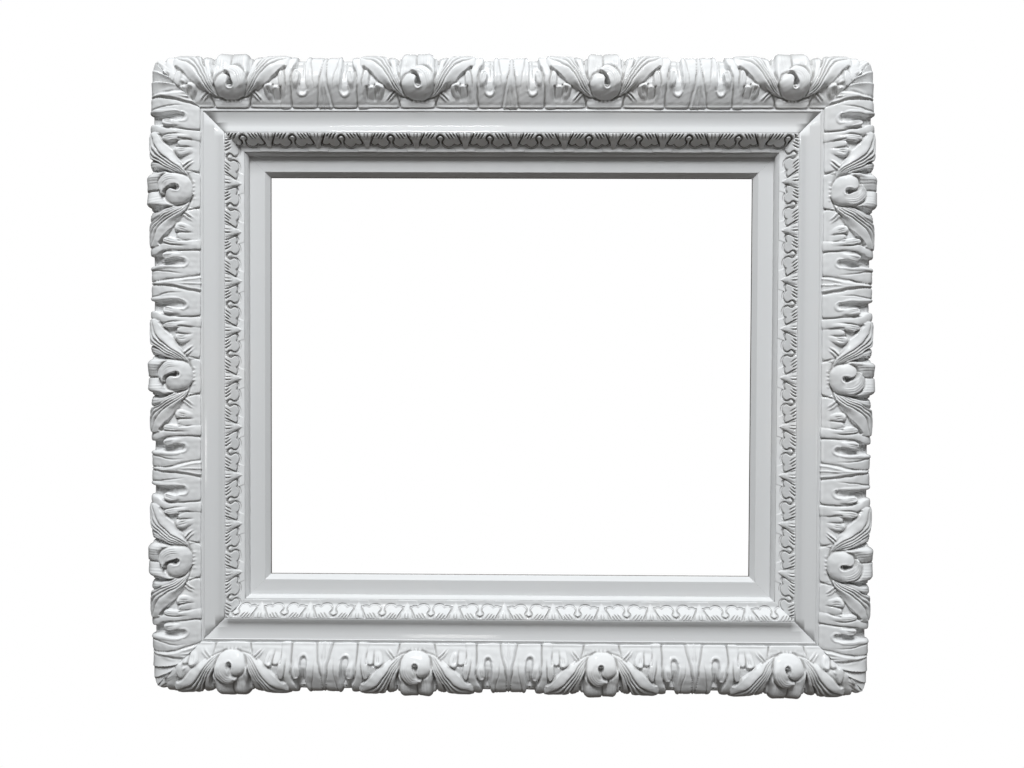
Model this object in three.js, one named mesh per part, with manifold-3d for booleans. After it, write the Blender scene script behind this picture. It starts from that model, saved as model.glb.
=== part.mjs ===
// Baroque picture frame, landscape, gloss white, empty opening.
// Units are millimetres, +Z is up, the front faces -Y and the back (wall side) faces +Y.
// The origin is the middle of the top rail's back face, which bears on the wall.
//
// Build-up of each side, from the opening outwards:
//   slip        flat inner frame with a bevelled sight edge; its back is rebated for the picture
//   rail        wooden core moulding: lip over the slip, leaf bed, crest, hollow, ledge, acanthus bed, back board
//   leaf strip  small leaf moulding, laid on the sloping bed of the rail
//   acanthus    big half-round carved moulding that wraps over the rail's outer edge
// All four are mitred at the corners. Steel V-nails pin the mitres from behind.
// On the back: two strap hangers with swinging D-rings, and six turn buttons that hold the picture in.

import * as THREE from "three";
import { mergeVertices } from "three/addons/utils/BufferGeometryUtils.js";
import Module from "manifold-3d";

const wasm = await Module();
wasm.setup();

// ---------------------------------------------------------------- driving dimensions
const SIGHT_W = 590; // visible opening, width
const SIGHT_H = 488; // visible opening, height
const MITRE_GAP = 0.15; // each rail stops this far short of the mitre plane, along its length
const FIT = 0.3; // clearance between two fitted pieces

// Slip section, (s, d): s is the distance outwards from the sight edge, d the height in front of the back plane
const REBATE_LIP = 7; // width of the lip that the picture rests on
const REBATE_DEPTH = 14; // from the back plane to that lip
const SLIP_EDGE = 17.8; // front of the sight edge
const SLIP_FLAT = 22.8; // front of the slip's flat
const BEVEL = 5.6; // width of the sight bevel
const SLIP_OUT = 30; // outer side of the slip, hidden by the rail's lip

// Rail section
const RAIL_LIP = 23.5; // inner edge of the rail's lip
const LEAF_IN = 27.6; // inner edge of the leaf strip
const LEAF_OUT = 47.2; // outer edge of the leaf bed
const CREST = 44.1; // height of the crest between the leaf band and the hollow
const BED_IN = 77.4; // inner edge of the acanthus bed
const BED = 40; // height of the acanthus bed
const BED_OUT = 128; // outer edge of the acanthus bed
const BOARD_OUT = 136.5; // outer edge of the back board
const BOARD = 14; // thickness of the back board

// The hollow: a steep fall from the crest, then a wide shallow curve up to the ledge beside the acanthus.
const HOLLOW = [
  [72.9, 41.4],
  [71, 40.97],
  [66, 40.23],
  [63, 40.05],
  [61, 40.08],
  [58.5, 40.31],
  [56, 40.84],
  [54, 41.61],
  [51, 43.02],
  [49, 43.8],
];

// Leaf strip: front line, a narrow fillet and a slope that rounds over to the crest
const LEAF_FRONT = [
  [27.6, 30.9],
  [32.8, 31.8],
  [34.4, 33.4],
  [38.2, 38.1],
  [41.4, 41.2],
  [44.2, 43],
  [46.9, 44.1],
];

// Acanthus section: front line of the half-round, at the tips of the carving
const TORUS = [
  [77.7, 43.6],
  [80, 46.2],
  [84, 48.8],
  [90, 53],
  [95, 56.2],
  [99.5, 57.4],
  [104, 57.6],
  [111, 57],
  [118, 55],
  [126, 51.8],
  [134, 47.2],
  [140.4, 41.8],
  [144.2, 35],
  [145.4, 26],
  [144.2, 14.3],
];

// Hardware
const SCREW_R = 1.5; // shank radius
const SCREW_HOLE_R = 1.9;
const HEAD_R = 3.6;
const HEAD_H = 2.3;
const SCREW_LEN = 13; // shank length
const PLATE = 1.3; // thickness of a turn button
const BUTTON_TIP = 22; // pivot to the tip of a turn button
const BUTTON_TAIL = 6.5;
const BUTTON_W = 12;
const BUTTON_S = 18; // where the pivots sit, from the sight edge
const BUTTON_X = 150; // pivots on the long sides, either side of the middle
const STRAP_W = 14;
const STRAP_T = 1.2;
const STRAP_LEN = 44;
const STRAP_SCREWS = [-27, -39]; // screw heights below the bar axis, clear of the hanging ring
const EYE_R = 3.1;
const EYE_BORE = 1.95;
const RING_R = 1.5; // ring wire radius
const RING_HALF = 9.8; // half the ring's straight bar
const RING_DROP = 20; // bar axis to the wire's centre at the bottom of the ring
const HANGER_S = 83.4; // hangers sit on the middle of the side rails
const HANGER_Z = 150; // height of the bar axis above the middle of the frame
const VNAIL_ARM = 7;
const VNAIL_T = 0.8;
const VNAIL_LEN = 11.5;

const A0 = SIGHT_W / 2;
const B0 = SIGHT_H / 2;

// ---------------------------------------------------------------- materials
const paint = (roughness) =>
  new THREE.MeshStandardMaterial({ color: 0xe9ebec, roughness, metalness: 0 });
const steel = () =>
  new THREE.MeshStandardMaterial({
    color: 0xb9bcc0,
    roughness: 0.35,
    metalness: 1,
  });

// ---------------------------------------------------------------- solids
// A closed geometry as a solid, with its shared vertices merged.
function solid(geometry) {
  const g = geometry.clone();
  for (const name of Object.keys(g.attributes))
    if (name !== "position") g.deleteAttribute(name);
  const merged = mergeVertices(g, 1e-4);
  return new wasm.Manifold(
    new wasm.Mesh({
      numProp: 3,
      vertProperties: merged.attributes.position.array,
      triVerts: new Uint32Array(merged.index.array),
    }),
  );
}

function geometryOf(manifold) {
  const m = manifold.getMesh();
  const v = new Float32Array(m.numVert * 3);
  for (let i = 0; i < m.numVert; i++)
    v.set(
      m.vertProperties.subarray(i * m.numProp, i * m.numProp + 3),
      i * 3,
    );
  const g = new THREE.BufferGeometry();
  g.setAttribute("position", new THREE.BufferAttribute(v, 3));
  g.setIndex(new THREE.BufferAttribute(new Uint32Array(m.triVerts), 1));
  g.computeVertexNormals();
  return g;
}

const polygon = (points) =>
  new THREE.Shape(points.map(([x, y]) => new THREE.Vector2(x, y)));

// A section (s, d) run along one side of the frame and cut at 45 degrees at both ends.
// half is half the sight size along the side, out half the sight size across it.
function mitred(section, half, out) {
  const g = new THREE.ExtrudeGeometry(polygon(section), {
    depth: 1,
    bevelEnabled: false,
    steps: 1,
  });
  const p = g.attributes.position;
  for (let i = 0; i < p.count; i++) {
    const s = p.getX(i);
    const d = p.getY(i);
    const end = p.getZ(i) > 0.5 ? 1 : -1;
    p.setXYZ(i, end * (half + s - MITRE_GAP), -d, out + s);
  }
  return g;
}

// A cylinder along Y between two depths.
function cylinderY(r, y0, y1, x, z, sides = 16) {
  const g = new THREE.CylinderGeometry(r, r, Math.abs(y1 - y0), sides);
  g.translate(x, (y0 + y1) / 2, z);
  return g;
}

// ---------------------------------------------------------------- sections
const slipSection = [
  [0, REBATE_DEPTH],
  [REBATE_LIP, REBATE_DEPTH],
  [REBATE_LIP, 0],
  [SLIP_OUT, 0],
  [SLIP_OUT, SLIP_FLAT],
  [BEVEL, SLIP_FLAT],
  [0, SLIP_EDGE],
];

const railSection = [
  [SLIP_OUT + FIT, 0],
  [BOARD_OUT, 0],
  [BOARD_OUT, BOARD],
  [BED_OUT, BOARD],
  [BED_OUT, BED],
  [BED_IN, BED],
  [77.2, 40.9],
  [73.4, 42.2],
  ...HOLLOW,
  [LEAF_OUT + 0.8, CREST],
  [LEAF_OUT, CREST],
  [LEAF_OUT, 39.4],
  [32.5, 30.1],
  [27.5, 29.9],
  [27.3, 30.6],
  [26.8, 30.4],
  [25.1, 28.4],
  [24.1, 26.4],
  [RAIL_LIP, SLIP_FLAT + FIT],
  [SLIP_OUT + FIT, SLIP_FLAT + FIT],
];

// The leaf strip lies on the sloping bed of the rail.
const leafSection = [
  [LEAF_IN, 30.2],
  [32.4, 30.4],
  [LEAF_OUT - FIT, 39.7],
  ...[...LEAF_FRONT].reverse(),
];

const acanthusSection = [
  [BED_IN + FIT, BED + FIT],
  ...TORUS,
  [BED_OUT + FIT, BOARD + FIT],
  [BED_OUT + FIT, BED + FIT],
];

// ---------------------------------------------------------------- the four sides
const frame = new THREE.Group();
frame.name = "baroque_picture_frame";
// Middle of the top rail's back face, measured from the middle of the opening.
const BACK_MID = (SLIP_OUT + FIT + BOARD_OUT) / 2;
const centred = new THREE.Group();
centred.position.set(0, 0, -(B0 + BACK_MID));
frame.add(centred);

const sides = {};
for (const [name, turn, half, out] of [
  ["top", 0, A0, B0],
  ["right", Math.PI / 2, B0, A0],
  ["bottom", Math.PI, A0, B0],
  ["left", -Math.PI / 2, B0, A0],
]) {
  const group = new THREE.Group();
  group.rotation.y = turn;
  group.updateMatrix();
  centred.add(group);
  sides[name] = {
    group,
    half,
    out,
    rail: solid(mitred(railSection, half, out)),
    slip: solid(mitred(slipSection, half, out)),
  };
}

// Cuts a geometry given in the centred frame out of one side's rail or slip.
function cut(side, piece, geometry) {
  const { group } = sides[side];
  const local = geometry
    .clone()
    .applyMatrix4(group.matrix.clone().invert());
  sides[side][piece] = sides[side][piece].subtract(solid(local));
}

function add(parent, name, geometry, material) {
  const mesh = new THREE.Mesh(geometry, material);
  mesh.name = name;
  parent.add(mesh);
  return mesh;
}

// ---------------------------------------------------------------- V-nails in the mitres
// An L of thin steel, driven from the back with its corner on the mitre line.
function vnailShape(arm, t, grow) {
  return polygon([
    [grow, grow],
    [-arm - grow, grow],
    [-arm - grow, -t - grow],
    [-t - grow, -t - grow],
    [-t - grow, -arm - grow],
    [grow, -arm - grow],
  ]);
}

// In the centred frame: shape X runs to the right, shape Y up, extruded towards the front.
function vnail(arm, t, grow, y0, y1, x, z, sx, sz) {
  const g = new THREE.ExtrudeGeometry(vnailShape(arm, t, grow), {
    depth: y0 - y1,
    bevelEnabled: false,
  });
  // The shape's plane XY becomes XZ, and the extrusion runs from y0 to y1 < y0.
  g.rotateX(Math.PI / 2);
  g.translate(0, y0, 0);
  if (sx * sz > 0) {
    if (sx < 0) g.rotateY(Math.PI);
  } else {
    g.rotateY(sx > 0 ? Math.PI / 2 : -Math.PI / 2);
  }
  g.translate(x, 0, z);
  return g;
}

const corners = [
  ["top_right", 1, 1, "top", "right"],
  ["bottom_right", 1, -1, "bottom", "right"],
  ["bottom_left", -1, -1, "bottom", "left"],
  ["top_left", -1, 1, "top", "left"],
];
for (const [name, sx, sz, level, upright] of corners) {
  for (const [label, s] of [
    ["inner", 58],
    ["outer", 104],
  ]) {
    const x = sx * (A0 + s);
    const z = sz * (B0 + s);
    const slot = vnail(VNAIL_ARM, VNAIL_T, FIT, 2, -VNAIL_LEN - 0.8, x, z, sx, sz);
    cut(level, "rail", slot);
    cut(upright, "rail", slot);
    add(
      centred,
      `vnail_${name}_${label}`,
      vnail(VNAIL_ARM, VNAIL_T, 0, -0.5, -VNAIL_LEN, x, z, sx, sz),
      steel(),
    );
  }
  const s = 23;
  const x = sx * (A0 + s);
  const z = sz * (B0 + s);
  const slot = vnail(6, VNAIL_T, FIT, 2, -8.8, x, z, sx, sz);
  cut(level, "slip", slot);
  cut(upright, "slip", slot);
  add(
    centred,
    `slip_vnail_${name}`,
    vnail(6, VNAIL_T, 0, -0.5, -8, x, z, sx, sz),
    steel(),
  );
}

// ---------------------------------------------------------------- screws
// A pan-head wood screw along +Y, its head's underside at y = seat, with a crossed recess.
function screwSolid(seat) {
  const lathe = new THREE.LatheGeometry(
    [
      [0, seat + HEAD_H],
      [HEAD_R * 0.62, seat + HEAD_H * 0.92],
      [HEAD_R * 0.92, seat + HEAD_H * 0.55],
      [HEAD_R, seat],
      [SCREW_R, seat],
      [SCREW_R, seat - SCREW_LEN * 0.72],
      [0, seat - SCREW_LEN],
    ]
      .reverse()
      .map(([x, y]) => new THREE.Vector2(x, y)),
    14,
  );
  const bar = (w, l) => {
    const g = new THREE.BoxGeometry(w, 1.6, l);
    g.translate(0, seat + HEAD_H, 0);
    return solid(g);
  };
  return solid(lathe)
    .subtract(bar(0.9, 3.8))
    .subtract(bar(3.8, 0.9));
}

// ---------------------------------------------------------------- turn buttons
// A flat steel tongue, round at both ends, on one screw. It lies along the slip, clear of the opening.
function buttonGeometry() {
  const r = BUTTON_W / 2;
  const tip = 4.2; // radius of the narrower free end
  const shape = new THREE.Shape();
  shape.absarc(0, 0, r, Math.PI / 2 + 0.09, -Math.PI / 2 - 0.09, false);
  shape.absarc(
    BUTTON_TIP - tip,
    0,
    tip,
    -Math.PI / 2 + 0.09,
    Math.PI / 2 - 0.09,
    false,
  );
  const hole = new THREE.Path();
  hole.absarc(0, 0, SCREW_HOLE_R, 0, 2 * Math.PI, true);
  shape.holes.push(hole);
  const g = new THREE.ExtrudeGeometry(shape, {
    depth: PLATE,
    bevelEnabled: false,
    curveSegments: 8,
  });
  g.rotateX(Math.PI / 2); // plane XZ, thickness from y = 0 to -PLATE
  g.translate(0, PLATE + FIT, 0);
  return g;
}

const buttons = [
  ["top_left", "top", -BUTTON_X],
  ["top_right", "top", BUTTON_X],
  ["right", "right", 0],
  ["bottom_right", "bottom", -BUTTON_X],
  ["bottom_left", "bottom", BUTTON_X],
  ["left", "left", 0],
];
for (const [name, side, x] of buttons) {
  const { group, out } = sides[side];
  const z = out + BUTTON_S;
  const pilot = cylinderY(
    SCREW_R + FIT,
    2,
    -SCREW_LEN,
    x,
    z,
  ).applyMatrix4(group.matrix);
  cut(side, "slip", pilot);
  const place = new THREE.Group();
  place.position.set(x, 0, z);
  group.add(place);
  add(place, `turn_button_${name}`, buttonGeometry(), steel());
  add(
    place,
    `turn_screw_${name}`,
    geometryOf(screwSolid(FIT + PLATE + FIT)),
    steel(),
  );
}

// ---------------------------------------------------------------- strap hangers and D-rings
const EYE_Y = FIT + EYE_R; // bar axis behind the back plane

function strapGeometry() {
  // Bar axis along X at z = 0; the strap runs down from it.
  const eye = new THREE.CylinderGeometry(EYE_R, EYE_R, STRAP_W, 24);
  eye.rotateZ(Math.PI / 2);
  eye.translate(0, EYE_Y, 0);
  const plate = new THREE.ExtrudeGeometry(
    (() => {
      const h = STRAP_W / 2;
      const s = new THREE.Shape();
      s.moveTo(-h, 0);
      s.lineTo(-h, -STRAP_LEN + 5);
      s.absarc(0, -STRAP_LEN + 5, h, Math.PI, 2 * Math.PI, false);
      s.lineTo(h, 0);
      s.closePath();
      return s;
    })(),
    { depth: STRAP_T, bevelEnabled: false, curveSegments: 10 },
  );
  plate.rotateX(Math.PI / 2);
  plate.translate(0, FIT + STRAP_T, 0);
  const bore = new THREE.CylinderGeometry(EYE_BORE, EYE_BORE, STRAP_W + 4, 24);
  bore.rotateZ(Math.PI / 2);
  bore.translate(0, EYE_Y, 0);
  let made = solid(eye).add(solid(plate)).subtract(solid(bore));
  for (const z of STRAP_SCREWS)
    made = made.subtract(solid(cylinderY(SCREW_HOLE_R, -2, 8, 0, z)));
  return geometryOf(made);
}

function ringGeometry() {
  // A D of round wire hanging from its straight bar.
  class Bow extends THREE.Curve {
    getPoint(t, target = new THREE.Vector3()) {
      const a = Math.PI * t;
      return target.set(
        -RING_HALF * Math.cos(a),
        0,
        -RING_DROP * Math.sin(a) ** 0.8,
      );
    }
  }
  const wire = new THREE.Shape();
  wire.absarc(0, 0, RING_R, 0, 2 * Math.PI, false);
  const bow = new THREE.ExtrudeGeometry(wire, {
    steps: 22,
    extrudePath: new Bow(),
    bevelEnabled: false,
    curveSegments: 5,
  });
  const bar = new THREE.CylinderGeometry(RING_R, RING_R, 2 * RING_HALF, 12);
  bar.rotateZ(Math.PI / 2);
  let made = solid(bar).add(solid(bow));
  for (const x of [-RING_HALF, RING_HALF]) {
    const ball = new THREE.SphereGeometry(RING_R, 12, 8);
    ball.translate(x, 0, 0);
    made = made.add(solid(ball));
  }
  return geometryOf(made);
}

for (const [name, side, sign] of [
  ["left", "left", -1],
  ["right", "right", 1],
]) {
  const x = sign * (A0 + HANGER_S);
  const place = new THREE.Group();
  place.position.set(x, 0, HANGER_Z);
  centred.add(place);
  add(place, `hanger_strap_${name}`, strapGeometry(), steel());
  const ring = add(place, `hanger_ring_${name}`, ringGeometry(), steel());
  ring.position.set(0, EYE_Y, 0);
  STRAP_SCREWS.forEach((z, i) => {
    cut(
      side,
      "rail",
      cylinderY(SCREW_R + FIT, 2, -SCREW_LEN, x, HANGER_Z + z),
    );
    const screw = add(
      place,
      `hanger_screw_${name}_${i === 0 ? "upper" : "lower"}`,
      geometryOf(screwSolid(FIT + STRAP_T + FIT)),
      steel(),
    );
    screw.position.set(0, 0, z);
  });
}

// ---------------------------------------------------------------- rails, slips and mouldings
for (const [name, side] of Object.entries(sides)) {
  const { group, half, out, rail, slip } = side;
  add(group, `rail_${name}`, geometryOf(rail), paint(0.32));
  add(group, `slip_${name}`, geometryOf(slip), paint(0.3));
  add(
    group,
    `leaf_strip_${name}`,
    mitred(leafSection, half, out),
    paint(0.34),
  );
  add(
    group,
    `acanthus_${name}`,
    mitred(acanthusSection, half, out),
    paint(0.3),
  );
}

export default frame;
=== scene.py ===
# White gloss picture frame in the baroque manner: four mitred rails, an inner slip, a small leaf-and-dart band and a
# deep acanthus border. Lengths in the geometry code are millimetres in the section's own coordinates:
#   u  along a rail, clockwise seen from the front, 0 at its middle
#   s  outwards from the sight edge
#   d  forwards from the back plane
import math
import bpy
import numpy as np
from mathutils import Matrix, Vector


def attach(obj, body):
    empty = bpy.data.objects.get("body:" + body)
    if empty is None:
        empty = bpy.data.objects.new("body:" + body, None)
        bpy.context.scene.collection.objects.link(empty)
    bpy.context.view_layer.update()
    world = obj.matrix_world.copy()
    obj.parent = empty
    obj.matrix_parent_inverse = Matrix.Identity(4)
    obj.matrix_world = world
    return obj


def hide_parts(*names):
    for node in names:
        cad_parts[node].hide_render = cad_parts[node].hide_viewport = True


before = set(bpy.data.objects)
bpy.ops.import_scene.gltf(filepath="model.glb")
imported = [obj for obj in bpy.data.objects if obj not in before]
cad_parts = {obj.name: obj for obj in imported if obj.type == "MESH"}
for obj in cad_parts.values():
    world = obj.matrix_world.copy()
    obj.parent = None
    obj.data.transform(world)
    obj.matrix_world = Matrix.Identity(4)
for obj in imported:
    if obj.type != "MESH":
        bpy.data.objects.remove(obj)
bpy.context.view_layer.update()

A0, B0 = 295.0, 244.0            # half width and half height of the opening
MID = B0 + 83.4                  # middle of the opening below the origin
LENGTH = {"top": A0, "right": B0, "bottom": A0, "left": B0}
SIDES = ("top", "right", "bottom", "left")


# ------------------------------------------------------------------ curve and canvas helpers
STEP = 0.3                     # canvas pitch, mm
PERIOD = 222.0                 # bud to bud, mm


def spline(points, n=60):
    """Catmull-Rom curve through points, evenly spread along its length."""
    p = np.asarray(points, float)
    if len(p) == 2:
        t = np.linspace(0, 1, n)[:, None]
        return p[0] * (1 - t) + p[1] * t
    q = np.vstack([2 * p[0] - p[1], p, 2 * p[-1] - p[-2]])
    out = []
    for i in range(len(p) - 1):
        a, b, c, d = q[i:i + 4]
        t = np.linspace(0, 1, 24, endpoint=False)[:, None]
        out.append(0.5 * ((2 * b) + (-a + c) * t + (2 * a - 5 * b + 4 * c - d) * t ** 2 + (-a + 3 * b - 3 * c + d) * t ** 3))
    out = np.vstack(out + [p[-1:]])
    length = np.concatenate([[0], np.cumsum(np.linalg.norm(np.diff(out, axis=0), axis=1))])
    at = np.linspace(0, length[-1], n)
    return np.stack([np.interp(at, length, out[:, k]) for k in range(out.shape[1])], 1)


class Canvas:
    """A height field over (u, S), in millimetres above the moulding's base surface."""

    def __init__(self, u0, u1, ground, step=STEP, s0=70.0, s1=158.0):
        self.step = step
        self.u = np.arange(u0, u1 + step / 2, step)
        self.s = np.arange(s0, s1 + step / 2, step)
        self.h = np.full((len(self.s), len(self.u)), float(ground))

    def box(self, pts, pad):
        lo, hi = pts.min(0) - pad, pts.max(0) + pad
        i0 = max(0, int((lo[0] - self.u[0]) / self.step)); i1 = min(len(self.u), int((hi[0] - self.u[0]) / self.step) + 2)
        j0 = max(0, int((lo[1] - self.s[0]) / self.step)); j1 = min(len(self.s), int((hi[1] - self.s[0]) / self.step) + 2)
        return slice(j0, max(j1, j0)), slice(i0, max(i1, i0))

    def near(self, pts, pad):
        """Distance, place along (0 to 1) and side (+1 on the left) of a curve, in the box around it."""
        js, is_ = self.box(pts, pad)
        X, Y = np.meshgrid(self.u[is_], self.s[js])
        best = np.full(X.shape, 1e9); at = np.zeros(X.shape); side = np.ones(X.shape)
        n = len(pts) - 1
        for k in range(n):
            a, b = pts[k], pts[k + 1]
            e = b - a; L2 = max(e @ e, 1e-12)
            t = np.clip(((X - a[0]) * e[0] + (Y - a[1]) * e[1]) / L2, 0, 1)
            dx = X - a[0] - t * e[0]; dy = Y - a[1] - t * e[1]
            d = dx * dx + dy * dy
            m = d < best
            best = np.where(m, d, best); at = np.where(m, (k + t) / n, at)
            side = np.where(m, np.where(e[0] * dy - e[1] * dx >= 0, 1.0, -1.0), side)
        return (js, is_), np.sqrt(best), at, side

    def groove(self, points, depth, width, power=1.5, right=None, n=40):
        """Cuts a groove. depth and width are (place, value) tables or numbers; right is another width for the right side."""
        pts = spline(points, n)
        top = max(np.max(table(width, np.linspace(0, 1, 9))), np.max(table(right if right is not None else width, np.linspace(0, 1, 9))))
        box, d, at, side = self.near(pts, top + 1)
        w = table(width, at)
        if right is not None:
            w = np.where(side > 0, w, table(right, at))
        x = np.clip(1 - d / np.maximum(w, 1e-6), 0, 1)
        self.h[box] -= table(depth, at) * x ** power

    def roll(self, points, height, width, top=None, power=0.5, n=40, blend=0.0):
        """A rounded ridge. With top it reaches the absolute height top and is laid over what is there; without, height is added."""
        pts = spline(points, n)
        wmax = np.max(table(width, np.linspace(0, 1, 9)))
        box, d, at, side = self.near(pts, wmax + 1)
        w = np.maximum(table(width, at), 1e-6)
        x = np.clip(1 - (d / w) ** 2, 0, 1) ** power
        if top is None:
            self.h[box] += table(height, at) * x
        else:
            new = table(top, at) - table(height, at) * (1 - x)
            inside = d < w
            self.h[box] = np.where(inside, np.maximum(self.h[box], new), self.h[box])

    def ribbon(self, left, right, height, mode="over", n=200, m=90, fade=None):
        """A leaf between two edge curves. height(t, x) gives the surface: t along, x across from left (0) to right (1)."""
        a, b = spline(left, n * 3), spline(right, n * 3)
        js, is_ = self.box(np.vstack([a, b]), 1)
        t = np.linspace(0, 1, len(a))[:, None]; x = np.linspace(0, 1, m * 3)[None, :]
        U = a[:, :1] * (1 - x) + b[:, :1] * x; V = a[:, 1:] * (1 - x) + b[:, 1:] * x
        hh = height(t + 0 * x, x + 0 * t)
        ii = np.round((U - self.u[0]) / self.step).astype(int); jj = np.round((V - self.s[0]) / self.step).astype(int)
        ok = (ii >= 0) & (ii < len(self.u)) & (jj >= 0) & (jj < len(self.s))
        flat = jj[ok] * len(self.u) + ii[ok]
        size = self.h.size
        count = np.bincount(flat, minlength=size).reshape(self.h.shape)
        total = np.bincount(flat, weights=hh[ok], minlength=size).reshape(self.h.shape)
        inside = count > 0
        new = np.where(inside, total / np.maximum(count, 1), 0)
        if fade:
            share = smooth(fade[0], fade[1], t + 0 * x)
            share = np.bincount(flat, weights=share[ok], minlength=size).reshape(self.h.shape) / np.maximum(count, 1)
            new = self.h * (1 - share) + new * share
        if mode == "max":
            self.h = np.where(inside, np.maximum(self.h, new), self.h)
        else:
            self.h = np.where(inside, new, self.h)

    def region(self, outline, n=160, closed=True):
        """Inside mask of a smooth closed outline, and the distance to its edge."""
        p = np.asarray(outline, float)
        pts = spline(np.vstack([p, p[:1]]), n) if closed else p
        box, d, at, side = self.near(pts, 2)
        X, Y = np.meshgrid(self.u[box[1]], self.s[box[0]])
        inside = np.zeros(X.shape, bool)
        x0, y0 = pts[:-1].T; x1, y1 = pts[1:].T
        for a, b, c, e in zip(x0, y0, x1, y1):
            cross = (b > Y) != (e > Y)
            if e != b:
                inside ^= cross & (X < (c - a) * (Y - b) / (e - b) + a)
        return box, inside, d, X, Y

    def blur(self, sigma_mm):
        self.h = blurred(self.h, sigma_mm / self.step)


def table(value, at):
    """A number, or a list of (place, value) pairs read at places."""
    if np.isscalar(value):
        return np.full(np.shape(at), float(value))
    v = np.asarray(value, float)
    return np.interp(at, v[:, 0], v[:, 1])


def blurred(h, sigma):
    r = max(1, int(3 * sigma + 0.5))
    k = np.exp(-0.5 * (np.arange(-r, r + 1) / sigma) ** 2); k /= k.sum()
    for axis in (0, 1):
        pad = [(0, 0), (0, 0)]; pad[axis] = (r, r)
        q = np.pad(h, pad, mode="edge")
        out = np.zeros_like(h)
        for i, w in enumerate(k):
            sl = [slice(None), slice(None)]; sl[axis] = slice(i, i + h.shape[axis])
            out += w * q[tuple(sl)]
        h = out
    return h


def cuts_of(h, reach):
    """How far h lies below its narrow cuts filled level: widest, then narrowest value over a window of reach cells."""
    q = h
    for pick in (np.maximum, np.minimum):
        for axis in (0, 1):
            pad = [(0, 0), (0, 0)]; pad[axis] = (reach, reach)
            e = np.pad(q, pad, mode="edge")
            out = q
            for i in range(2 * reach + 1):
                sl = [slice(None), slice(None)]; sl[axis] = slice(i, i + h.shape[axis])
                out = pick(out, e[tuple(sl)])
            q = out
    return q - h


def dome(x):
    return np.sqrt(np.clip(1 - x * x, 0, 1))


def smooth(e0, e1, x):
    t = np.clip((x - e0) / (e1 - e0), 0, 1)
    return t * t * (3 - 2 * t)
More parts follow.
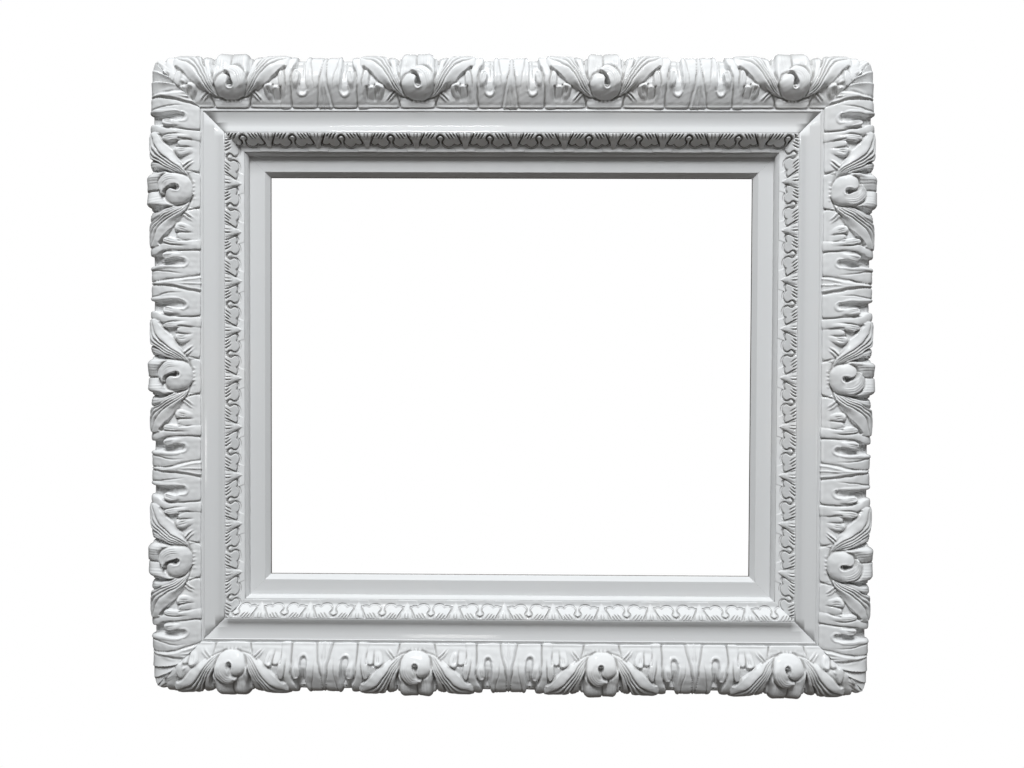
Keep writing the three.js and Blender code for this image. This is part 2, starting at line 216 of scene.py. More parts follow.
# ------------------------------------------------------------------ one module of the acanthus border
def module(c, o=0.0):
    """Bud at u = o, flutes half a period away. The inner half lies nearly flush, cut by thin lines; the outer half is opened up between the leaves."""
    f = lambda pts, k=1: [(o + k * x, y) for x, y in pts]
    X, Y = np.meshgrid(c.u, c.s)
    x0 = np.abs(X - o)
    ground = -.9 - 5.4 * smooth(98, 108, Y) + 4.6 * smooth(119, 129, Y) + 3.0 * smooth(120, 130, Y) * smooth(74, 64, x0) + 4.2 * smooth(56, 63, x0) * smooth(80, 74, x0) * smooth(105, 113, Y) * smooth(127, 121, Y)
    c.h = np.where(x0 < 112, ground, c.h)
    for k in (1, -1):
        g = lambda pts, k=k: f(pts, k)
        # ---------------- flute: a tall dagger with sloping flanks and a short midrib at its foot
        def flute(t, x):
            half = table([(0, 10.4), (.14, 8.2), (.29, 5.8), (.43, 4.0), (.58, 2.8), (.72, 2.0), (1, 1.6)], t)
            flank = smooth(0, 1, np.clip(x * half / 3.3, 0, 1))
            midrib = np.clip(1 - (1 - x) * half / 1.4, 0, 1) * smooth(.31, .17, t)
            return -1.1 + 2.6 * flank + 1.6 * midrib - 1.0 * smooth(2.2, 5.0, x * half) * smooth(.31, .17, t) + 1.7 * smooth(.45, .72, t)
        c.ribbon(g([(100.8, 72.6), (103.0, 84), (105.4, 96), (107.2, 108), (108.4, 120), (109.2, 132), (109.6, 153)]),
                 g([(111.2, 72.6), (111.2, 84), (111.2, 96), (111.2, 108), (111.2, 120), (111.2, 132), (111.2, 153)]), flute)
        # ---------------- lobe and blade between the creases
        box, inside, d, x, y = c.region(g([(71.5, 88), (71.9, 78), (74.8, 73.4), (86, 72.4), (96.6, 73.0), (100.2, 75.4), (102.4, 86), (104.8, 97), (106.8, 108), (108.2, 120), (109.0, 134), (109.4, 153),
                                            (102.4, 153), (96.4, 152), (93.0, 142), (90.8, 133), (89.8, 126), (87, 118), (83.4, 112.4), (80, 113.0), (76, 113.4), (73.2, 110), (71.7, 100)]), 260)
        e = np.clip(d / 4.6, 0, 1)
        lip = .4 * smooth(77.4, 73.6, y)
        c.h[box] = np.where(inside, -.8 + 1.0 * np.sqrt(1 - (1 - e) ** 2) + lip + 1.9 * smooth(116, 129, y), c.h[box])
        # hollow above the cut fold, open to the pit
        box, inside, d, x, y = c.region(g([(74.8, 121), (75.6, 116.4), (77.6, 114.0), (80.4, 113.0), (84, 111.8), (88.6, 112.4), (89.4, 118), (87.6, 124), (84, 126), (79, 124.4)]), 160)
        c.h[box] = np.where(inside, np.minimum(c.h[box], -2.0 - 3.2 * smooth(0, 1.4, d) * smooth(124, 117, y) + 2.5 * smooth(119, 126, y)), c.h[box])
        # pit with steep walls and a rounded end
        pts = spline(g([(86.0, 91.4), (86.0, 100), (86.4, 110), (86.2, 121), (85.6, 132)]), 60)
        box, d, at, side = c.near(pts, 9)
        w = table([(0, 4.4), (.14, 4.7), (.35, 4.3), (.6, 3.6), (.8, 3.6), (1, 5.0)], at)
        cut = np.clip(1.35 - (d / w) ** 4, 0, 1)
        low = table([(0, -3.8), (.12, -4.8), (.35, -6.0), (.66, -6.2), (.74, -4.6), (.82, -1.8), (.9, .4), (1, 1.0)], at)
        c.h[box] = c.h[box] * (1 - cut) + np.minimum(c.h[box], low) * cut
        c.groove(g([(86.2, 101), (86.2, 112), (85.8, 126)]), [(0, .2), (.4, 1.6), (1, 1.8)], 1.2, 1)
        # rolled wall on the flute side and the rib line beside it
        c.roll(g([(90.2, 90.2), (92.2, 97), (92.4, 107), (92.2, 118), (93.0, 130)]), [(0, .4), (.2, .8), (1, 1.0)], [(0, 1.2), (.3, 2.0), (1, 2.2)])
        c.roll(g([(81.4, 93), (80.8, 88.6), (84.0, 85.6), (88.0, 85.8), (91.0, 89.4)]), .7, 1.6)
        c.groove(g([(99.4, 89), (99.0, 99), (98.0, 110), (96.0, 121), (94.8, 130)]), [(0, .2), (.3, 1.3), (.8, 1.5), (1, 1.2)], 1.0, 1.0)
        c.groove(g([(99.4, 146), (99.5, 136), (99.4, 127.5)]), [(0, 3.0), (.6, 2.4), (1, .1)], [(0, 1.7), (1, .6)], 1.0)
        # fold with a cut tip on the panel side of the pit
        c.ribbon(g([(82.0, 90), (82.0, 97), (82.6, 104), (83.0, 109), (81.8, 112.4), (80.0, 113.4)]), g([(75.8, 88), (74.8, 97), (74.2, 104), (74.4, 109), (76.0, 112.6), (78.0, 113.8)]),
                 lambda t, x: .2 + 1.9 * dome(2 * x - 1) ** .8 + .5 * t - .8 * smooth(.9, 1, t), fade=(.05, .5))
        for q in (0, 1):
            c.groove(g([(77.0 + q * 2.2, 100.0 + q * .8), (78.4 + q * 2.0, 105.0), (79.6 + q * 1.6, 110.6)]), [(0, .2), (.4, 1.3), (1, 1.5)], .95, 1)
        c.groove(g([(73.4, 92), (73.6, 103), (75.6, 113.6)]), [(0, .2), (.5, 1.5), (1, 2.2)], 1.3, 1.1)
        # ---------------- panel: hollow floor with a hem
        box, inside, d, x, y = c.region(g([(21.0, 79), (22.2, 75.0), (27, 73.0), (45, 72.4), (63, 72.6), (68.4, 73.4), (70.9, 77), (71.2, 88), (70.6, 104), (67, 114), (62, 122), (52, 120), (40, 110), (28, 94)]), 220)
        e = np.clip(d / 2.4, 0, 1)
        floor = .1 - .6 * smooth(74.6, 76.2, y) - 2.6 * smooth(76.5, 93, y) - .6 * smooth(95, 108, y) - 1.6 * smooth(56, 66, np.abs(x - o)) + 3.4 * smooth(106, 116, y) * smooth(50, 60, np.abs(x - o))
        hem = 1.8 * (1 - np.sqrt(1 - (1 - e) ** 2)) * (y < 84)
        c.h[box] = np.where(inside, floor - hem, c.h[box])
        # border fold: broad roll along the crease, rising to a pointed tip
        c.ribbon(g([(71.0, 73.0), (71.2, 84), (71.5, 96), (71.8, 106), (74.4, 115), (78.2, 122), (79.0, 131)]), g([(58.4, 73.6), (59.2, 84), (60.6, 96), (62.6, 106), (64.2, 113), (67.2, 122), (70.0, 132)]),
                 lambda t, x: -1.4 + 1.9 * dome(np.clip(2 * x - 1, -1, 1)) ** .7 + 1.0 * smooth(.2, .7, t) + 1.4 * smooth(.66, .9, t) + .9 * smooth(.07, 0, t))
        # second, cut fold on the hollow side
        c.ribbon(g([(65.6, 84), (65.8, 93), (65.4, 101), (64.8, 108), (63.2, 112.0), (61.6, 113.2)]), g([(58.4, 80), (58.2, 89), (57.2, 99), (56.8, 106), (57.8, 111.0), (59.8, 113.4)]),
                 lambda t, x: -.6 + 2.1 * dome(2 * x - 1) ** .8 + 1.0 * t - .8 * smooth(.9, 1, t), fade=(-.1, .35))
        c.groove(g([(65.8, 90), (65.6, 101), (63.6, 112)]), [(0, .2), (.4, 1.8), (1, 2.0)], 1.2, 1)
        c.groove(g([(62.6, 97), (62.0, 104), (60.8, 111)]), [(0, .2), (.5, 1.3), (1, 1.2)], .9, 1)
        c.groove(g([(60.0, 99), (59.6, 104), (58.8, 109.6)]), [(0, .2), (.5, 1.1), (1, 1.0)], .9, 1)
        # ruffled leaflet: a plain lobe and one with two slits
        c.ribbon(g([(59.0, 78.6), (59.4, 84), (59.0, 90), (57.6, 94.0), (55.4, 95.4)]), g([(51.0, 77.4), (50.2, 84), (50.0, 89), (50.6, 93.4), (52.8, 95.2)]),
                 lambda t, x: -2.0 + 1.6 * t + 2.0 * dome(2 * x - 1) * (.3 + .7 * t), fade=(0, .3))
        c.ribbon(g([(51.2, 77.4), (50.6, 84), (50.8, 91), (49.8, 96.0), (47.6, 98.0)]), g([(45.8, 77.2), (42.8, 83), (40.4, 89.4), (40.6, 94.8), (44.6, 98.0)]),
                 lambda t, x: -1.6 + 2.0 * t + 2.3 * dome(2 * x - 1) * (.3 + .7 * t), fade=(0, .3))
        c.groove(g([(50.6, 96.4), (50.2, 89), (50.6, 80)]), [(0, 2.6), (.6, 2.0), (1, .2)], 1.2, 1)
        for q in (0, 1):
            c.groove(g([(46.6 - 2.3 * q, 94.4 + .4 * q), (47.2 - 2.2 * q, 90.4), (48.8 - 2.3 * q, 85.6)]), [(0, .5), (.3, 1.5), (.7, 1.4), (1, .1)], .9, 1)
        c.groove(g([(59.8, 95), (59.9, 88), (58.8, 79.4)]), [(0, 2.2), (.6, 1.8), (1, .2)], 1.1, 1)
        # small leaf under the sweep: two ribs
        for q in (0, 1):
            c.roll(g([(25.0 + 3.8 * q, 88.0 + 1.0 * q), (29.6 + 3.8 * q, 84.0 + .9 * q), (34.6 + 3.4 * q, 79.0 + .7 * q)]), [(0, 2.4), (.6, 1.8), (1, .1)], [(0, 1.5), (1, 1.1)])
        c.groove(g([(27.6, 88.2), (32.0, 84.0), (36.4, 79.4)]), [(0, 1.3), (1, .1)], 1.0, 1)
        # creases
        c.groove(g([(71.3, 71), (71.4, 80), (71.6, 90), (71.8, 100)]), [(0, 1.8), (.7, 2.0), (1, .8)], 1.25, 1)
        c.groove(g([(100.4, 71), (101.6, 78), (103.8, 88), (106.0, 99), (107.8, 112), (109.0, 128)]), [(0, .6), (.5, .3), (.8, 0), (1, 0)], .9, 1)
    # ---------------- small panel under the bud
    box, inside, d, x, y = c.region(f([(-20.8, 79), (-19.8, 74.6), (-14, 72.9), (0, 72.4), (14, 72.9), (19.6, 74.6), (20.6, 79), (18, 84), (0, 86), (-18, 84)]))
    e = np.clip(d / 2.0, 0, 1)
    c.h[box] = np.where(inside, -1.1 + 1.3 * np.sqrt(1 - (1 - e) ** 2) + .3 * smooth(76.4, 73.6, y) - 1.5 * smooth(76.0, 79.6, y), c.h[box])
    for q in (-9.6, -4.6, .4, 5.4, 10.2):
        c.roll(f([(q * .86, 82.0), (q * .96, 79.6), (q * 1.04, 77.6)]), [(0, 1.6), (.6, 1.1), (1, .1)], [(0, 1.5), (.7, 1.7), (1, 1.2)])
    for k in (1, -1):
        c.groove(f([(21.0, 71.4), (21.0, 75), (22.4, 79), (24.4, 83.6)], k), [(0, 2.0), (.6, 2.0), (1, .4)], 1.3, 1)
    for k in (1, -1):
        g = lambda pts, k=k: f(pts, k)
        # ---------------- narrow leaf between sweep and petal
        c.ribbon(g([(19.6, 99), (22.6, 108), (25.8, 118), (27.6, 128), (28.4, 138), (29.4, 153)]), g([(20.2, 95), (25.6, 106), (31.0, 117), (35.4, 128), (37.4, 136), (38.0, 152)]),
                 lambda t, x: -2.6 + 2.2 * t + 2.6 * smooth(.5, .75, t) + 3.2 * dome(np.clip(1.7 * x - .8, -1, 1)) ** .8 - 1.5 * smooth(.85, 1, t))
        c.groove(g([(22.4, 104), (26.8, 115), (30.6, 127), (32.4, 140)]), [(0, .1), (.4, .6), (1, .6)], 1.1, 1)
        # ---------------- sweeping leaf
        def sweep(t, x):
            # x: 0 at the upper edge (beside the narrow leaf), 1 at the broad lower band
            base = .4 + 2.2 * smooth(.03, .36, t) + 2.2 * smooth(.5, .74, t)
            bands = np.zeros_like(x)
            for lo, hi, amp in ((0, .25, 2.4), (.25, .63, 3.8), (.63, 1.0, 3.8)):
                y = (x - lo) / (hi - lo)
                bands = np.where((x >= lo) & (x <= hi), amp * (dome(2 * y - 1 if lo else np.clip(y, 0, 1)) ** 1.1 - 1), bands)
            return base + bands * smooth(.0, .13, t) * (1 - .5 * smooth(.88, 1, t)) - .9 * smooth(.93, 1, t)
        c.ribbon(g([(33.0, 118), (37.0, 126), (41.0, 134), (43.0, 142), (43.6, 153)]), g([(66, 118), (68.2, 124), (68.8, 132), (68.6, 140), (68.4, 152)]), lambda t, x: 3.6 - .8 * x + 0 * t)
        def band(t, x):
            # broad lower band, sinking to the panel
            base = .4 + 2.2 * smooth(.03, .36, t) + 2.2 * smooth(.5, .74, t)
            lead = 3.4 * (1 - dome(1 - np.clip(x / .16, 0, 1)) ** 1.1)
            return base - (lead + 4.6 * smooth(.1, 1.1, x) * (1 - .55 * smooth(.66, .9, t))) * smooth(.0, .13, t)
        seam = [(8.4, 81.6), (17.0, 85.0), (23.5, 89.8), (28.6, 96.2), (33.4, 104.2), (38.6, 111.9), (44.2, 118.0), (51.4, 122.0), (59.8, 123.6), (68.2, 125.6)]
        c.ribbon(g(seam), g([(6.0, 80.4), (17.0, 83.0), (26.2, 86.4), (33.6, 90.6), (40.6, 96.4), (46.6, 102.4), (51.6, 108.0), (56.6, 112.8), (62.0, 116.8), (68.4, 121.6)]), band, mode="max")
        c.ribbon(g([(12.0, 83.4), (17.0, 88.0), (20.6, 94), (24.2, 102), (28.8, 112), (34.4, 121.6), (40.4, 128.6), (49.0, 132.6), (59.0, 133.2), (68.0, 131.6)]), g(seam), sweep)
        c.groove(g([(6.0, 80.0), (17.0, 82.6), (25.6, 86.6), (31.7, 92.0), (35.2, 97.0)]), [(0, 1.4), (.4, 1.9), (.75, 1.3), (1, .1)], [(0, 1.2), (1, 1.6)], 1)
        # notches between the tips
        c.groove(g([(54.0, 156), (53.4, 146), (51.4, 137)]), [(0, 2.4), (.6, 1.8), (1, .2)], [(0, 1.8), (1, .8)], 1.0)
        c.groove(g([(62.6, 156), (62.2, 146), (59.8, 134)]), [(0, 2.4), (.6, 1.8), (1, .2)], [(0, 1.8), (1, .8)], 1.0)
        c.groove(g([(40.4, 156), (39.6, 146), (37.6, 134), (36.6, 126)]), [(0, .4), (.5, .9), (.8, 2.0), (1, .3)], [(0, 1.4), (.6, 1.3), (1, .8)], 1.0)
    # ---------------- tulip behind the bud: two petals sloping to a slit
    for k in (1, -1):
        def petal(t, x, k=k):
            # x: 0 at the slit, 1 at the rim
            h = -1.8 + 5.0 * x ** 1.3 * (1 - .35 * t) - 2.6 * smooth(.88, 1, x) ** 2 - 1.5 * smooth(.9, 1, t) + 1.0 * t + 2.8 * smooth(.25, .6, t) + 3.9 * (1 - x) * smooth(.30, .52, t) + 2.0 * smooth(.36, .58, t) - 3.8 * smooth(.62, 1, x) ** 2 * smooth(.24, .48, t)
            for q in ((.38, .52, .66, .80) if k > 0 else (.42, .60, .76)):
                q = q + .12 * (t - .5)
                h = h - .45 * np.clip(1 - np.abs(x - q) / .055, 0, 1) * smooth(.0, .25, t) * smooth(.62, .40, t)
            return h + (.7 * (1 - x) if k > 0 else 0)
        c.ribbon(f([(-.9 * k, 106), (-.9 * k, 118), (-1.0 * k, 130), (-.9 * k, 142), (1, 154)], k), f([(18.4, 95), (20.4, 106), (20.6, 119), (20.2, 130), (18.4, 140), (16, 153)], k), petal)
        # wedge-shaped gap beside the petal
        c.groove(f([(20.6, 101), (22.4, 110), (23.8, 120), (24.2, 131), (24.0, 142), (23.6, 156)], k), [(0, .4), (.2, 3.4), (.4, 4.8), (.5, 3.4), (.62, 1.2), (1, .5)], [(0, .7), (.3, 1.2), (.5, 1.7), (.75, 1.8), (1, 1.7)], .8)
    c.groove(f([(-1.6, 156), (-1.5, 142), (-1.3, 130), (-1.0, 120)]), [(0, .8), (.5, 1.5), (1, 2.4)], [(0, 1.3), (1, 1.1)], 1.0)
    # ---------------- bud
    c.groove(f([(-8.6, 80.4), (-15.4, 85.4), (-18.2, 93), (-17.8, 101), (-13.6, 108.6), (-7, 113), (0, 119.6), (9.8, 118.8), (16.6, 112), (19.8, 103), (19.6, 95), (17, 86), (9, 80.4)]), 2.0, 1.7, 1, n=90)
    box, inside, d, x, y = c.region(f([(1, 79.8), (9.6, 81.0), (16.6, 86.6), (19.2, 95.6), (18.0, 105.6), (13, 112.6), (4, 116), (-5, 112.6), (-12.4, 108.6), (-17.2, 101.6), (-17.6, 93.6), (-15, 86.0), (-8.0, 81.0)]))
    r = np.clip(d / 14.5, 0, 1)
    c.h[box] = np.where(inside, -1.2 + 5.8 * np.sqrt(1 - (1 - r) ** 2) ** .95 - 1.0 * smooth(96, 84, y), c.h[box])
    # hood: a leaf that curls over from the right to a small rounded end
    def hood(t, x):
        h = 2.4 + 2.6 * np.sin(np.pi * np.clip(.16 + .74 * x, 0, 1)) - .2 * t
        for q in (.30, .50, .70):
            h = h - 1.0 * np.clip(1 - np.abs(x - q) / .075, 0, 1) * smooth(.08, .3, t) * smooth(.97, .75, t)
        return h - 2.2 * smooth(.86, 1, x) - 1.0 * smooth(.92, 1, t)
    c.ribbon(f([(6.6, 93), (7.2, 99), (6.4, 104.6), (3.6, 108.6), (.2, 110.2), (-3.8, 110.4)]), f([(17.6, 92), (19.2, 103), (16.2, 112.0), (9.6, 118.2), (1.6, 120.0), (-4.4, 116.6)]), hood, mode="max", fade=(0, .25))
    c.roll(f([(-3.0, 113.2), (-4.6, 113.0)]), 2.4, 3.0, top=4.6)
    # comma-shaped hole
    pts = spline(f([(-10.4, 109.6), (-6.6, 110.4), (-3.0, 109.4), (-.2, 106.4), (.9, 102.4), (1.2, 98.4)]), 50)
    box, d, at, side = c.near(pts, 6)
    w = table([(0, .7), (.3, 1.2), (.7, 1.3), (.86, 2.2), (1, 3.0)], at)
    cut = np.clip(1.5 - (d / w) ** 4, 0, 1)
    low = table([(0, -1.0), (.25, -1.8), (.65, -2.8), (.85, -7), (1, -8)], at)
    c.h[box] = c.h[box] * (1 - cut) + np.minimum(c.h[box], low) * cut
    c.roll(f([(-3.6, 101), (-2.8, 96.4), (1.2, 93.8), (4.8, 96.0)]), .5, 1.3)


# ------------------------------------------------------------------ one repeat of the leaf-and-dart band
LEAF_PERIOD = 59.0


def leaf_repeat(c):
    """Eye at u = 0, dart tips at plus and minus half a period: smooth cushions parted by thin channels."""
    half = LEAF_PERIOD / 2
    X, Y = np.meshgrid(c.u, c.s)
    # fillet with slanting steps where the tips of a second row lie under each dart
    c.h[:] = -.25
    edge = 16.2 + (32.0 - Y) * .5
    c.h += .32 * smooth(edge - .3, edge + .3, np.abs(X)) * (Y < 36)
    for k in (1, -1):
        g = lambda pts, k=k: [(k * x, y) for x, y in pts]
        low = spline([(2.4, 37.6), (2.1, 36.2), (2.9, 34.3), (5.2, 32.4), (8.6, 31.5), (12.2, 31.9), (14.9, 33.1), (15.9, 34.1), (18.2, 33.4), (21.4, 33.3), (25.4, 34.8)], 90)
        shape = np.vstack([low, [(27.5, 50), (2.4, 50), low[0]]]) * [k, 1]
        box, inside, d, x, y = c.region(shape, closed=False)
        e = np.clip(d / 1.7, 0, 1)
        c.h[box] = np.where(inside & (np.abs(x) < 27), -1.0 + 1.25 * np.sqrt(1 - (1 - e) ** 2), c.h[box])
        # short ribs under the crest
        for a, b in (((6.6, 46.0), (11.6, 39.6)), ((10.4, 46.0), (15.4, 39.8)), ((14.6, 45.8), (17.6, 41.4))):
            c.groove(g([a, (.5 * (a[0] + b[0]) - .3, .5 * (a[1] + b[1])), b]), [(0, 1.2), (.6, 1.2), (1, .2)], .95, .9)
            c.roll(g([(a[0] + 1.8, a[1]), (b[0] + 1.6, b[1] + .8)]), [(0, .6), (.6, .4), (1, .1)], 1.2)
        # dart: half of a pointed leaf
        c.ribbon(g([(20.4, 49), (22.2, 43), (24.4, 38), (26.0, 34.4), (27.6, 31.6), (half, 29.4)]), g([(half, 49), (half, 43), (half, 38), (half, 34.4), (half, 31.6), (half, 29.2)]),
                 lambda t, x: -.7 + 1.1 * dome(1 - np.clip(x * 1.25, 0, 1)) + 1.2 * smooth(.5, .74, t) * smooth(1.0, .82, t), n=80, m=40)
        c.roll(g([(half, 49), (half, 43), (half, 39)]), [(0, .8), (.7, .6), (1, .1)], 1.1)
        c.groove(g([(half - 1.9, 48.5), (half - 1.9, 43), (half - 1.6, 39)]), [(0, .9), (.7, .7), (1, .1)], .9, 1.0)
        # channels
        c.groove(g([(18.6, 46.4), (19.7, 43.5), (21.8, 40.4), (24.2, 36.4), (25.6, 33.8)]), [(0, 1.2), (.3, 1.9), (.8, 1.9), (1, 1.0)], 1.0, .75)
        c.groove(g([(5.2, 32.4), (8.6, 31.5), (12.2, 31.9), (14.9, 33.1), (15.9, 34.1), (18.2, 33.4), (21.4, 33.3), (24.8, 34.6)]), [(0, 1.7), (1, 1.7)], 1.0, .8)
        c.groove(g([(0, 44.0), (2.6, 43.0), (4.2, 41.2), (3.9, 39.2), (2.4, 37.6), (2.1, 36.2), (2.9, 34.3), (5.2, 32.4)]), [(0, 1.7), (.8, 1.9), (1, 1.2)], 1.0, .75, n=70)
    # eye and stem
    c.h = np.where((np.abs(X) < 1.6) & (Y < 39), np.maximum(c.h, -.8), c.h)
    d = np.hypot(X, Y - 40.6)
    c.h = np.where(d < 2.5, np.maximum(c.h, -.8 + 1.3 * dome(d / 2.5)), c.h)
    c.h = np.where(c.h < .2, .2 + (c.h - .2) * 1.35, c.h)


# ------------------------------------------------------------------ skins
def place(side, u, s, d):
    """Section coordinates in millimetres to the frame's metres."""
    x, z = {"top": (u, B0 + s), "right": (A0 + s, -u), "bottom": (-u, -B0 - s), "left": (-A0 - s, u)}[side]
    return np.stack([x, -d, z - MID], -1) / 1000.0


def skin(name, side, U, S, D, flat, node, material, cuts=(), gap=0.03, dust_and_shade=None):
    """Closed skin of one moulding. Rows run round its section, columns along the rail; both ends are mitred.
    flat marks the rows whose strip to the next row is shaded flat. The moulding is divided at the columns in cuts.
    The last argument, from 0 to 1, is the dirt and painted shade that lie in the cuts of the relief and along its outer
    edge; the paint reads it point by point."""
    R, C = S.shape
    UU = np.broadcast_to(U, (R, C)).copy(); S = S.copy(); D = D.copy()
    reach = LENGTH[side] + S - gap
    r = np.arange(R)
    ends = []
    for sign in (-1, 1):
        cols = np.arange(C) if sign > 0 else np.arange(C)[::-1]
        out = (sign * UU - reach >= 0)[:, cols]
        out[:, :C // 2] = False
        k = out.argmax(1)
        c1, c0 = cols[k], cols[k - 1]
        a = sign * UU[r, c0] - reach[r, c0]; b = sign * UU[r, c1] - reach[r, c1]
        f = np.clip(-a / np.where(b - a == 0, 1, b - a), 0, 1)
        at = np.where(f < .4, c0, c1)
        new = [q[r, c0] * (1 - f) + q[r, c1] * f for q in (UU, S, D)]
        for q, v in zip((UU, S, D), new):
            q[r, at] = v
        ends.append(at)
    P = place(side, UU, S, D).reshape(-1, 3)
    idx = r[:, None] * C + np.clip(np.arange(C)[None, :], ends[0][:, None], ends[1][:, None])
    bounds = [0] + list(cuts) + [C - 1]
    made = []
    for part, (ca, cb) in enumerate(zip(bounds[:-1], bounds[1:])):
        a, b = idx[:, ca:cb], idx[:, ca + 1:cb + 1]
        e, g = np.roll(b, -1, 0), np.roll(a, -1, 0)
        rows = np.broadcast_to(r[:, None], a.shape); col = np.broadcast_to(np.arange(ca, cb)[None, :], a.shape)
        x0 = (col - ca) / (cb - ca) * .94 + .01; x1 = (col + 1 - ca) / (cb - ca) * .94 + .01
        y0 = rows / R * .98 + .01; y1 = (rows + 1) / R * .98 + .01
        quad = (a != b) & (g != e); tri1 = (a == b) & (g != e); tri2 = (a != b) & (g == e)
        faces = [np.stack([a, b, e, g], -1)[quad], np.stack([a, e, g], -1)[tri1], np.stack([a, b, e], -1)[tri2]]
        uvs = [np.stack([np.stack([x0, x1, x1, x0], -1), np.stack([y0, y0, y1, y1], -1)], -1)[quad],
               np.stack([np.stack([x0, x1, x0], -1), np.stack([y0, y1, y1], -1)], -1)[tri1],
               np.stack([np.stack([x0, x1, x1], -1), np.stack([y0, y0, y1], -1)], -1)[tri2]]
        shade = [np.asarray(flat)[rows[m]] for m in (quad, tri1, tri2)]
        loops = [f.reshape(-1) for f in faces]; sizes = [np.full(len(f), f.shape[1]) for f in faces]
        # end faces
        for n, (c, turn) in enumerate(((ca, 1), (cb, -1))):
            ring = idx[:, c][::turn]
            loops.append(ring); sizes.append(np.array([R])); shade.append(np.array([True]))
            q = np.stack([(S.reshape(-1)[ring] - S.min()) / (np.ptp(S) + 1e-9) * .03 + .965, (D.reshape(-1)[ring] - D.min()) / (np.ptp(D) + 1e-9) * .4 + .05 + .5 * n], -1)
            uvs.append(q[None])
        loop = np.concatenate(loops); size = np.concatenate(sizes)
        used, loop = np.unique(loop, return_inverse=True)
        mesh = bpy.data.meshes.new(name)
        mesh.vertices.add(len(used)); mesh.vertices.foreach_set("co", P[used].astype(np.float32).reshape(-1))
        mesh.loops.add(len(loop)); mesh.loops.foreach_set("vertex_index", loop.astype(np.int32))
        start = np.concatenate([[0], np.cumsum(size)[:-1]])
        mesh.polygons.add(len(size)); mesh.polygons.foreach_set("loop_start", start.astype(np.int32))
        mesh.update(calc_edges=True)
        mesh.polygons.foreach_set("use_smooth", ~np.concatenate(shade).astype(bool))
        uv = mesh.uv_layers.new(name="OFBake")
        uv.data.foreach_set("uv", np.concatenate([q.reshape(-1, 2) for q in uvs]).astype(np.float32).reshape(-1))
        if dust_and_shade is not None:
            mesh.attributes.new("dust_and_shade", "FLOAT", "POINT").data.foreach_set("value", dust_and_shade.reshape(-1)[used].astype(np.float32))
        mesh.materials.append(material)
        obj = bpy.data.objects.new(name if len(bounds) == 2 else f"{name}_{part + 1}", mesh)
        bpy.context.scene.collection.objects.link(obj)
        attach(obj, "frame"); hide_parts(node)
        made.append(obj)
    return made


def wobble(u, s, scale, seed):
    """Smooth seeded unevenness between about -1 and 1."""
    rng = np.random.default_rng(seed)
    total = 0
    for k in range(5):
        a = rng.uniform(0, 2 * np.pi); w = 2 * np.pi / (scale * rng.uniform(.7, 1.6))
        total = total + np.sin(w * (np.cos(a) * u + np.sin(a) * s) + rng.uniform(0, 2 * np.pi))
    return total / 3.2


def sample(c, u, s):
    """Bilinear reading of a canvas."""
    x = np.clip((u - c.u[0]) / c.step, 0, len(c.u) - 1.001); y = np.clip((s - c.s[0]) / c.step, 0, len(c.s) - 1.001)
    i = x.astype(int); j = y.astype(int); fx = x - i; fy = y - j
    h = c.h
    return (h[j, i] * (1 - fx) + h[j, i + 1] * fx) * (1 - fy) + (h[j + 1, i] * (1 - fx) + h[j + 1, i + 1] * fx) * fy


def rounded(points, radius, n=4):
    """A closed section with its corners rounded. radius is one number or one per corner. Returns points and a flag for straight runs."""
    p = [np.asarray(q, float) for q in points]
    out, flat = [], []
    for i, q in enumerate(p):
        rad = radius[i] if hasattr(radius, "__len__") else radius
        a, b = p[i - 1] - q, p[(i + 1) % len(p)] - q
        la, lb = np.linalg.norm(a), np.linalg.norm(b)
        cosine = np.clip(a @ b / (la * lb), -1, 1)
        if rad <= 0 or cosine < -.999:
            out.append(q); flat.append(True); continue
        half = math.acos(cosine) / 2
        cut = min(rad / math.tan(half), .45 * la, .45 * lb)
        start, end = q + a / la * cut, q + b / lb * cut
        for t in np.linspace(0, 1, n + 1):
            out.append((1 - t) ** 2 * start + 2 * t * (1 - t) * q + t * t * end); flat.append(False)
        flat[-1] = False
    return np.array(out), flat


def arc(a, b, sag, n):
    """Points of a circular hollow between a and b, without its ends."""
    a, b = np.asarray(a, float), np.asarray(b, float)
    chord = np.linalg.norm(b - a); rad = (chord ** 2 / 4 + sag ** 2) / (2 * sag)
    mid = (a + b) / 2; normal = np.array([0, 1.0]) - (b - a) * ((b - a)[1] / chord ** 2)
    normal /= np.linalg.norm(normal)
    centre = mid + normal * (rad - sag)
    t0 = math.atan2(*(a - centre)[::-1]); t1 = math.atan2(*(b - centre)[::-1])
    d = (t1 - t0 + math.pi) % (2 * math.pi) - math.pi
    return [centre + rad * np.array([math.cos(t0 + d * k / n), math.sin(t0 + d * k / n)]) for k in range(1, n)]




# ------------------------------------------------------------------ materials
def graph(name):
    m = bpy.data.materials.new(name)
    m.use_nodes = True
    t = m.node_tree
    t.nodes.clear()
    out = t.nodes.new("ShaderNodeOutputMaterial"); bsdf = t.nodes.new("ShaderNodeBsdfPrincipled")
    t.links.new(bsdf.outputs[0], out.inputs[0])
    return m, t, bsdf


def node(t, kind, inputs=(), **props):
    n = t.nodes.new(kind)
    for k, v in props.items():
        setattr(n, k, v)
    for k, v in dict(inputs).items():
        if isinstance(v, bpy.types.NodeSocket):
            t.links.new(v, n.inputs[k])
        else:
            n.inputs[k].default_value = v
    return n


def ramp(t, value, stops):
    n = t.nodes.new("ShaderNodeValToRGB")
    n.color_ramp.elements[0].position, n.color_ramp.elements[0].color = stops[0][0], stops[0][1]
    n.color_ramp.elements[1].position, n.color_ramp.elements[1].color = stops[-1][0], stops[-1][1]
    for p, c in stops[1:-1]:
        e = n.color_ramp.elements.new(p); e.color = c
    t.links.new(value, n.inputs[0])
    return n


def grey(v, tint=(1, 1, 1)):
    return (v * tint[0], v * tint[1], v * tint[2], 1)


